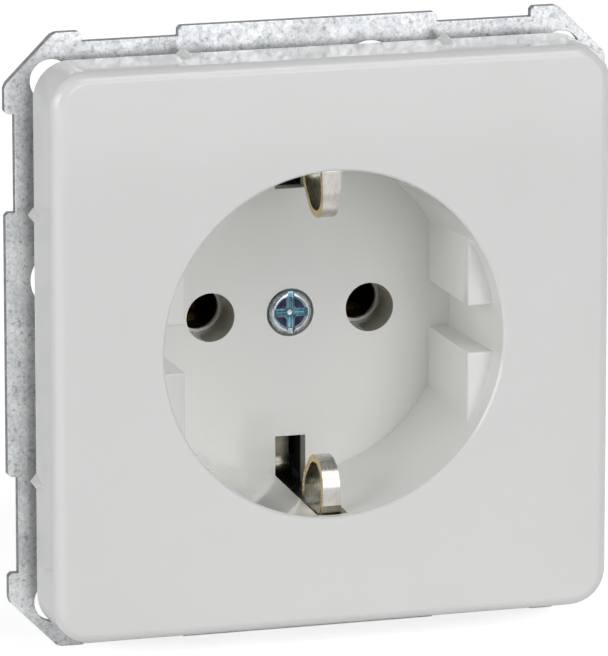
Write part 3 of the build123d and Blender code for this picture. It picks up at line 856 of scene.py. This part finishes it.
@dataclass
class EarthBracket:
    """Nickel plated strip whose curled ends touch the plug's earth."""

    # Strip
    width: float = 2.3 * MM
    tip_width: float = 1.8 * MM
    thickness: float = 0.8 * MM
    cut_gap: float = 0.05 * MM
    edge: float = 0.10 * MM
    edge_steps: int = 3

    # Path from the web to the end of a clip, and the radius of each bend
    web_y: float = 10.8 * MM
    web_end: float = 9.4 * MM
    run: float = 20.4 * MM
    foot_y: float = -9.8 * MM
    crest: float = 4.4 * MM
    peak: float = 14.2 * MM
    return_y: float = -2.8 * MM
    shoulder: float = 17.2 * MM
    end: float = 19.5 * MM
    bends: tuple[float, ...] = (2.5 * MM, 0.9 * MM, 2.9 * MM, 2.6 * MM, 2.4 * MM)

    # Where the finishes change, and where the painted shade goes
    hidden_y: float = 6.0 * MM
    foot_band: float = 18.9 * MM
    side_facing: float = 0.9
    run_facing: float = 0.7

    def build(self, finishes: Finishes) -> None:
        """Make the strip with brass on its cut sides and painted shade on its curls, deep parts and lower
        foot, and the lug that is riveted to it.

        Args:
            finishes: The finishes to use.
        """
        web = copy_of("earth_bracket", "earth_strip")
        self.keep_web(web)
        clips = self.bend_clips()
        pick(web)
        clips.select_set(True)
        bpy.ops.object.join()
        round_edges(web, self.edge, self.edge_steps)
        # Plain nickel, brass cut edges, then two darker nickels that are painted shade.
        paint(web, finishes.nickel, finishes.cut_brass, finishes.painted_dark_shade_nickel, finishes.painted_curl_shade_nickel)
        repaint(web, self.plating_of)
        settle(web, "earth_bracket")
        dress("earth_terminal_lug", "earth_lug", self.edge, finishes.brass)
        dress("earth_rivet", "lug_rivet", self.edge, finishes.brass)

    def plating_of(self, face: Face) -> Plating:
        """Which finish a face of the strip has, painted shade included.

        Args:
            face: A face of the strip.

        Returns:
            Its finish.
        """
        # Deep parts, the run under a curl and the lower foot get painted shade.
        if face.center.y > self.hidden_y or self.is_under_curl(face) or self.is_at_foot(face):
            return Plating.DULL
        if abs(face.normal.x) > self.side_facing:
            return Plating.CUT_EDGE
        # Faces inside a curl get painted shade.
        return Plating.HOLLOW if self.is_in_curl(face) else Plating.FACE

    def curl_middle(self) -> float:
        """Place along Y of the middle of a curl."""
        return (self.foot_y + self.return_y) / 2

    def is_in_curl(self, face: Face) -> bool:
        """Whether a face looks into the hollow of its clip, where shade is painted.

        Args:
            face: A face of the strip.

        Returns:
            True inside the curl.
        """
        place = face.center
        hollow = Vector((place.x, self.curl_middle(), math.copysign(self.shoulder, place.z)))
        within = place.y < self.return_y + self.thickness and abs(place.z) < self.run - self.thickness
        return within and (hollow - place).dot(face.normal) > 0.0

    def is_under_curl(self, face: Face) -> bool:
        """Whether a face lies on the strip's run and looks at the curl beside it, where shade is painted.

        Args:
            face: A face of the strip.

        Returns:
            True on the inner side of the run.
        """
        inwards = face.normal.z * face.center.z < 0.0 and abs(face.normal.z) > self.run_facing
        return inwards and abs(face.center.z) > self.run - self.thickness

    def is_at_foot(self, face: Face) -> bool:
        """Whether a face lies on the front of the lower clip where it goes into its slot, where a dark
        band is painted.
        """
        return face.center.y < self.foot_y and face.center.z < -self.foot_band

    def keep_web(self, web: Piece) -> None:
        """Cut the clips off the copied strip and close its ends.

        Args:
            web: The copied strip.
        """
        pick(web)
        bpy.ops.object.mode_set(mode="EDIT")
        for side in SIDES:
            bpy.ops.mesh.select_all(action="SELECT")
            bpy.ops.mesh.bisect(
                plane_co=(0.0, 0.0, side * self.web_end),
                plane_no=(0.0, 0.0, side),
                clear_outer=True,
                use_fill=True,
            )
        bpy.ops.object.mode_set(mode="OBJECT")

    def bend_clips(self) -> Piece:
        """Bend the upper clip, taper its curl, and mirror it for the lower one.

        Returns:
            Both clips, which end on the web.
        """
        path = (
            (self.web_y, self.web_end),
            (self.web_y, self.run),
            (self.foot_y, self.run),
            (self.foot_y, self.peak),
            (self.foot_y + self.crest, self.peak),
            (self.return_y, self.shoulder),
            (self.return_y, self.end),
        )
        clips = BentStrip(self.width, self.thickness, path, self.bends).sweep("earth_clips")
        self.taper(clips)
        pick(clips)
        twin = clips.modifiers.new("lower_clip", "MIRROR")
        twin.use_axis = (False, False, True)
        twin.use_mirror_merge = False
        bpy.ops.object.modifier_apply(modifier=twin.name)
        bpy.ops.object.mode_set(mode="EDIT")
        bpy.ops.mesh.select_all(action="SELECT")
        bpy.ops.mesh.normals_make_consistent(inside=False)
        # Split the lower foot where its painted dark band starts.
        bpy.ops.mesh.bisect(plane_co=(0.0, 0.0, -self.foot_band), plane_no=(0.0, 0.0, 1.0))
        bpy.ops.object.mode_set(mode="OBJECT")
        return clips

    def taper(self, clips: Piece) -> None:
        """Trim both sides of the curl so that it narrows to its crest.

        Args:
            clips: The upper clip.
        """
        root = self.run - self.thickness / 2
        drop = root - (self.peak - self.thickness)
        lean = math.atan2((self.width - self.tip_width) / 2, drop)
        for side in SIDES:
            edge = Vector((side * self.width / 2, self.curl_middle(), root - self.cut_gap))
            down = Vector((-side * math.sin(lean), 0.0, -math.cos(lean)))
            out = Vector((side * math.cos(lean), 0.0, -math.sin(lean)))
            middle = edge + down * drop + out * self.width / 2
            deselect()
            bpy.ops.mesh.primitive_cube_add(size=1.0, location=middle, rotation=(0.0, side * lean, 0.0))
            block = bpy.context.object
            block.scale = (self.width, 2 * (self.return_y - self.foot_y), 2 * drop)
            bpy.ops.object.transform_apply(location=True, rotation=True, scale=True)
            carve(clips, block)


@dataclass
class CentreScrew:
    """Combination head screw that holds the cover: a rim, a sunk face, a cross and a slot."""

    # Head
    head_radius: float = 2.55 * MM
    head_front: float = 5.55 * MM
    head_back: float = 7.15 * MM
    head_sides: int = 64
    rim_round: float = 0.52 * MM
    rim_steps: int = 5
    rim_width: float = 0.07 * MM
    dish: float = 0.12 * MM
    edge: float = 0.03 * MM

    # Slot
    slot_width: float = 0.80 * MM
    slot_length: float = 6.12 * MM
    slot_depth: float = 0.28 * MM
    slot_draft: float = 0.8

    # Cross with its eye, and the border of the pockets between its arms
    cross_width: float = 1.20 * MM
    cross_span: float = 4.20 * MM
    cross_depth: float = 0.50 * MM
    arm_draft: float = 0.04
    span_draft: float = 0.80
    eye_radius: float = 0.30 * MM
    eye_mouth: float = 0.90 * MM
    eye_depth: float = 0.56 * MM
    eye_sides: int = 32
    border: float = 0.11 * MM

    # Shank
    shank_radius: float = 1.5 * MM
    shank_end: float = 14.0 * MM
    pitch: float = 0.5 * MM
    root_share: float = 0.84

    # How faces are told apart
    margin: float = 0.02 * MM
    facing: float = 0.9
    cap_facing: float = 0.99

    def build(self, finishes: Finishes) -> None:
        """Make the screw with painted dark reflection in the pockets round its blue cross.

        Args:
            finishes: The finishes to use.
        """
        screw = self.turn_blank()
        for cutter in self.recess_cutters():
            carve(screw, cutter)
        self.sink_pockets(screw)
        round_edges(screw, self.edge)
        paint(screw, finishes.zinc, finishes.pocket_painted_reflection, finishes.blue_zinc)
        repaint(screw, self.tone_of)
        settle(screw, "centre_screw")

    def sink_pockets(self, screw: Piece) -> None:
        """Sink the four corners between the arms of the cross, with a border round each.

        Args:
            screw: The screw with its recess cut.
        """
        sunk = self.head_front + self.dish
        choose(screw, lambda face: self.looks_out(face) and abs(face.center.y - sunk) < self.margin)
        bpy.ops.mesh.inset(thickness=self.border)
        bpy.ops.transform.translate(value=(0.0, self.dish, 0.0))
        bpy.ops.object.mode_set(mode="OBJECT")

    def looks_out(self, face: Face) -> bool:
        """Whether a face looks to the front."""
        return face.normal.y < -self.facing

    def tone_of(self, face: Face) -> ScrewTone:
        """Which finish a face of the screw has.

        Args:
            face: A face of the screw.

        Returns:
            Its finish.
        """
        across, tall = abs(face.center.x), abs(face.center.z)
        depth = face.center.y - self.head_front
        if math.hypot(across, tall) > self.cross_span / 2 or face.center.y > self.head_back:
            return ScrewTone.BRIGHT
        if min(across, tall) > self.cross_width / 2:
            # Pocket floors get the painted dark reflection.
            in_pocket = self.looks_out(face) and depth > self.dish + self.margin
            return ScrewTone.POCKET if in_pocket else ScrewTone.BRIGHT
        in_eye = self.looks_out(face) and depth > self.cross_depth + self.margin
        return ScrewTone.CROSS if depth > self.margin and not in_eye else ScrewTone.BRIGHT

    def turn_blank(self) -> Piece:
        """Turn the head with its rim and sunk face, and the threaded shank.

        Returns:
            The screw with no recess.
        """
        deselect()
        depth = self.head_back - self.head_front
        bpy.ops.mesh.primitive_cylinder_add(
            vertices=self.head_sides,
            radius=self.head_radius,
            depth=depth,
            location=(0.0, self.head_front + depth / 2, 0.0),
            rotation=(math.pi / 2, 0.0, 0.0),
        )
        screw = bpy.context.object
        screw.name = "combination_screw"
        bpy.ops.object.transform_apply(location=True, rotation=True)
        self.select_cap(screw, -1.0)
        bpy.ops.mesh.bevel(offset=self.rim_round, segments=self.rim_steps, affect="EDGES")
        self.select_cap(screw, -1.0)
        bpy.ops.mesh.inset(thickness=self.rim_width)
        bpy.ops.mesh.inset(thickness=self.dish)
        bpy.ops.transform.translate(value=(0.0, self.dish, 0.0))
        self.select_cap(screw, 1.0)
        bpy.ops.mesh.inset(thickness=self.head_radius - self.shank_radius)
        self.draw_shank()
        return screw

    def draw_shank(self) -> None:
        """Draw the selected end out to the shank, ring by ring between root and crest."""
        end = self.head_back
        ratio = self.root_share
        while end + self.pitch / 2 <= self.shank_end:
            bpy.ops.mesh.extrude_region_move(TRANSFORM_OT_translate={"value": (0.0, self.pitch / 2, 0.0)})
            bpy.ops.transform.resize(value=(ratio, 1.0, ratio))
            ratio = 1.0 / ratio
            end += self.pitch / 2
        bpy.ops.object.mode_set(mode="OBJECT")

    def select_cap(self, screw: Piece, side: float) -> None:
        """Select the flat end of the screw on one side, open for editing.

        Args:
            screw: The screw.
            side: 1 for the end that looks along Y and -1 for the other.
        """
        pick(screw)
        caps = [face for face in screw.data.polygons if face.normal.y * side > self.cap_facing]
        largest = max(caps, key=lambda face: face.area).index
        choose(screw, lambda face: face.index == largest)

    def recess_cutters(self) -> list[Piece]:
        """Make the cutters of the slot, the two tapered arms of the cross and its eye.

        Returns:
            The cutters in the order of the cuts.
        """
        width, span, depth = self.cross_width, self.cross_span, self.cross_depth
        return [
            self.cutter(self.slot_width, self.slot_length, self.slot_depth, self.slot_draft, 1.0),
            self.cutter(width, span, depth, self.arm_draft, self.span_draft),
            self.cutter(span, width, depth, self.span_draft, self.arm_draft),
            self.eye_cutter(),
        ]

    def eye_cutter(self) -> Piece:
        """Make the cone that hollows the middle of the cross.

        Returns:
            The cone.
        """
        deselect()
        bpy.ops.mesh.primitive_cone_add(
            vertices=self.eye_sides,
            radius1=self.eye_radius,
            radius2=self.eye_mouth,
            depth=self.eye_depth,
            location=(0.0, self.head_front + self.eye_depth / 2, 0.0),
            rotation=(math.pi / 2, 0.0, 0.0),
        )
        bpy.ops.object.transform_apply(location=True, rotation=True)
        return bpy.context.object

    def cutter(self, across: float, tall: float, depth: float, narrow: float, shorten: float) -> Piece:
        """Make a block that narrows into the head.

        Args:
            across: Its width along X at the front.
            tall: Its height along Z at the front.
            depth: How deep it cuts.
            narrow: Its width at the bottom as a share of its front.
            shorten: Its height at the bottom as a share of its front.

        Returns:
            The block.
        """
        deselect()
        front = self.head_front - self.dish
        middle = (front + self.head_front + depth) / 2
        bpy.ops.mesh.primitive_cube_add(size=1.0, location=(0.0, middle, 0.0))
        block = bpy.context.object
        block.scale = (across, self.head_front + depth - front, tall)
        bpy.ops.object.transform_apply(location=True, scale=True)
        choose(block, lambda face: face.normal.y > self.facing)
        bpy.ops.transform.resize(value=(narrow, 1.0, shorten))
        bpy.ops.object.mode_set(mode="OBJECT")
        return block


@dataclass
class ContactBase:
    """Dark base with the plate that closes it and the two screws between them."""

    edge: float = 0.22 * MM
    screw_edge: float = 0.15 * MM

    def build(self, finishes: Finishes) -> None:
        """Make the base, its plate and its screws.

        Args:
            finishes: The finishes to use.
        """
        dress("socket_base", "contact_base", self.edge, finishes.dark)
        dress("contact_cover", "contact_plate", self.edge, finishes.dark)
        dress("housing_screws", "plate_screws", self.screw_edge, finishes.zinc)


@dataclass
class PoleContacts:
    """Forked contacts of the two pins, each with its steel clip."""

    edge: float = 0.08 * MM

    def build(self, finishes: Finishes) -> None:
        """Make both forks and both clips.

        Args:
            finishes: The finishes to use.
        """
        steel = finishes.spring_steel
        for pole in (Pole.LINE, Pole.NEUTRAL):
            fork, contact = f"{pole.value}_fork", f"{pole.value}_contact"
            dress(contact, fork, self.edge, finishes.brass)
            dress(f"{contact}_spring", f"{fork}_clip", self.edge, steel)


@dataclass
class Terminals:
    """Lift cages with their slotted screws."""

    cage_edge: float = 0.12 * MM
    screw_edge: float = 0.2 * MM

    def build(self, finishes: Finishes) -> None:
        """Make the three cages and screws.

        Args:
            finishes: The finishes to use.
        """
        zinc, slot = finishes.zinc, Slot.ZINC_STEEL
        for pole in Pole:
            terminal = f"{pole.value}_terminal"
            dress(f"{terminal}_cage", f"{pole.value}_cage", self.cage_edge, zinc)
            dress(f"{terminal}_screw", f"{pole.value}_clamp_screw", self.screw_edge, zinc)


# Studio


def direction(azimuth: float, elevation: float) -> Vector:
    """Direction from the socket to a place in the studio.

    Args:
        azimuth: Degrees to the right of the socket's front, as the camera sees it.
        elevation: Degrees above the floor.

    Returns:
        A vector of length 1.
    """
    turn, lift = math.radians(azimuth), math.radians(elevation)
    return Vector((math.sin(turn) * math.cos(lift), -math.cos(turn) * math.cos(lift), math.sin(lift)))


@dataclass(frozen=True)
class Lamp:
    """A square soft box aimed at the middle of the socket."""

    name: str
    azimuth: float
    elevation: float
    level: float
    distance: float = 1.6
    side: float = 0.8
    tint: Colour = (0.962, 0.968, 1.0)

    def place(self) -> None:
        """Hang the lamp, at a level that is the share of white it gives a surface facing it."""
        towards = direction(self.azimuth, self.elevation)
        aim = towards.to_track_quat("Z", "Y").to_euler()
        bpy.ops.object.light_add(type="AREA", location=towards * self.distance, rotation=aim)
        lamp = bpy.context.object
        lamp.name = self.name
        lamp.data.shape = "SQUARE"
        lamp.data.size = self.side
        lamp.data.color = self.tint
        lamp.data.energy = self.level * math.pi**2 * self.distance**2


@dataclass
class Studio:
    """Pale floor, soft boxes and the camera."""

    # Camera: its place in degrees and metres, its lens and sensor in millimetres
    camera_turn: float = -16.97
    camera_lift: float = 12.89
    camera_distance: float = 809.77 * MM
    camera_aside: float = -0.15 * MM
    camera_down: float = -0.53 * MM
    lens: float = 391.1
    sensor: float = 36.0
    clip_start: float = 0.01
    clip_end: float = 50.0

    # Floor, its glow to the camera, and its glow in mirrors along Y
    floor_side: float = 2.4
    floor_white: float = 0.86
    floor_pale: float = 0.88
    floor_clouds: Clouds = Clouds(0.2, 2.0)
    floor_dullness: float = 0.8
    floor_glow: float = 0.74
    near_glow: float = 0.68
    near_end: float = -0.010
    back_glow: float = 0.30
    back_start: float = 0.040
    far_glow: float = 0.90
    far_start: float = -0.285
    far_blend: float = 0.012
    contact_reach: float = 0.05

    # Sky, its level on dull surfaces and what mirrors see on top of that
    sky_behind: Colour = WHITE
    sky_front: Colour = (0.25, 0.25, 0.25)
    sky_blend: float = 0.3
    sky_level: float = 0.12
    sky_shine: float = 0.60

    # Soft boxes
    lamps: tuple[Lamp, ...] = (
        Lamp("key_box", 19.0, 44.0, 0.275),
        Lamp("front_box", 13.0, 11.0, 0.23),
        Lamp("left_box", -64.0, 14.0, 0.29),
        Lamp("side_box", -92.0, 14.0, 0.14),
        Lamp("back_box", 115.0, 24.0, 0.22),
    )

    def build(self) -> None:
        """Set the floor, the sky, the lamps and the camera."""
        deselect()
        self.lay_floor()
        self.light_sky()
        for lamp in self.lamps:
            lamp.place()
        self.aim_camera()
        bpy.context.scene.view_settings.view_transform = "Standard"

    def lay_floor(self) -> None:
        """Lay a pale floor that stays white to the camera and keeps the shadow."""
        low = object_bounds()[0]
        bpy.ops.mesh.primitive_plane_add(size=self.floor_side, location=(0.0, 0.0, low[2]))
        floor = bpy.context.object
        floor.name = "studio_floor"
        sheet = NodeSheet("pale_floor")
        sheet.colour(
            sheet.shades(sheet.noise(self.floor_clouds), (self.floor_white,) * 3, (self.floor_pale,) * 3)
        )
        sheet.fix("Roughness", self.floor_dullness)
        sheet.fix("Specular IOR Level", 0.0)
        sheet.fix("Emission Color", (*WHITE, 1.0))
        paths = sheet.add("ShaderNodeLightPath").outputs
        shown = sheet.calculate("MULTIPLY", paths["Is Camera Ray"], self.floor_glow)
        mirrored = sheet.calculate("MULTIPLY", self.mirrored_glow(sheet), paths["Is Glossy Ray"])
        glow = sheet.calculate("ADD", shown, mirrored)
        sheet.link(glow, sheet.shader.inputs["Emission Strength"])
        paint(floor, sheet.material)
        floor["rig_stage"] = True

    def mirrored_glow(self, sheet: NodeSheet) -> Socket:
        """Glow of the floor as the socket mirrors it, which follows Y and fades beside the socket.

        Args:
            sheet: The floor's material.

        Returns:
            The glow.
        """
        axes = sheet.add("ShaderNodeSeparateXYZ")
        sheet.link(sheet.place, axes.inputs["Vector"])
        along = axes.outputs["Y"]
        rising = sheet.spread(along, 0.0, self.near_glow, self.far_start, self.near_end)
        back_share = self.back_glow / self.near_glow
        fading = sheet.spread(along, 1.0, back_share, self.near_end, self.back_start)
        near = sheet.calculate("MULTIPLY", rising, fading)
        far_end = self.far_start + self.far_blend
        far = sheet.spread(along, self.far_glow, 0.0, self.far_start - self.far_blend, far_end)
        open_share = sheet.add("ShaderNodeAmbientOcclusion", Distance=self.contact_reach).outputs["AO"]
        return sheet.calculate("MULTIPLY", sheet.calculate("ADD", near, far), open_share)

    def light_sky(self) -> None:
        """Fill the room with light that is brighter behind the socket, and white to the camera."""
        world = bpy.data.worlds.new("studio_sky")
        bpy.context.scene.world = world
        world.use_nodes = True
        board = NodeBoard(world.node_tree)
        axes = board.add("ShaderNodeSeparateXYZ")
        board.link(board.add("ShaderNodeTexCoord").outputs["Generated"], axes.inputs["Vector"])
        share = board.spread(axes.outputs["Y"], 0.0, 1.0, -self.sky_blend, self.sky_blend)
        tone = board.ramp(share, (0.0, self.sky_front), (1.0, self.sky_behind))
        paths = board.add("ShaderNodeLightPath").outputs
        shine = board.calculate("MULTIPLY", paths["Is Glossy Ray"], self.sky_shine)
        strength = board.calculate("ADD", shine, self.sky_level)
        backdrop = board.find("BACKGROUND")
        board.link(tone, backdrop.inputs["Color"])
        board.link(strength, backdrop.inputs["Strength"])
        white = board.add("ShaderNodeBackground", Color=(*WHITE, 1.0))
        chosen = board.add("ShaderNodeMixShader")
        board.link(paths["Is Camera Ray"], chosen.inputs["Fac"])
        board.link(backdrop.outputs["Background"], chosen.inputs[1])
        board.link(white.outputs["Background"], chosen.inputs[2])
        board.link(chosen.outputs["Shader"], board.find("OUTPUT_WORLD").inputs["Surface"])

    def aim_camera(self) -> None:
        """Stand the camera at the photograph's angle."""
        back = direction(self.camera_turn, self.camera_lift)
        turn, lift = math.radians(self.camera_turn), math.radians(self.camera_lift)
        right = Vector((math.cos(turn), math.sin(turn), 0.0))
        up = back.cross(right)
        place = back * self.camera_distance + right * self.camera_aside + up * self.camera_down
        bpy.ops.object.camera_add(location=place, rotation=(math.pi / 2 - lift, 0.0, turn))
        camera = bpy.context.object
        camera.name = "photo_camera"
        camera.data.lens = self.lens
        camera.data.sensor_width = self.sensor
        camera.data.clip_start = self.clip_start
        camera.data.clip_end = self.clip_end
        bpy.context.scene.camera = camera


def main() -> None:
    """Build the socket and its studio."""
    logging.basicConfig(level=logging.INFO, format="%(message)s")
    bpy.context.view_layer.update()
    finishes = Finishes()
    for assembly in (
        FrontCover(),
        SupportFrame(),
        EarthBracket(),
        CentreScrew(),
        ContactBase(),
        PoleContacts(),
        Terminals(),
    ):
        assembly.build(finishes)
    Studio().build()


if __name__ == "__main__":
    main()
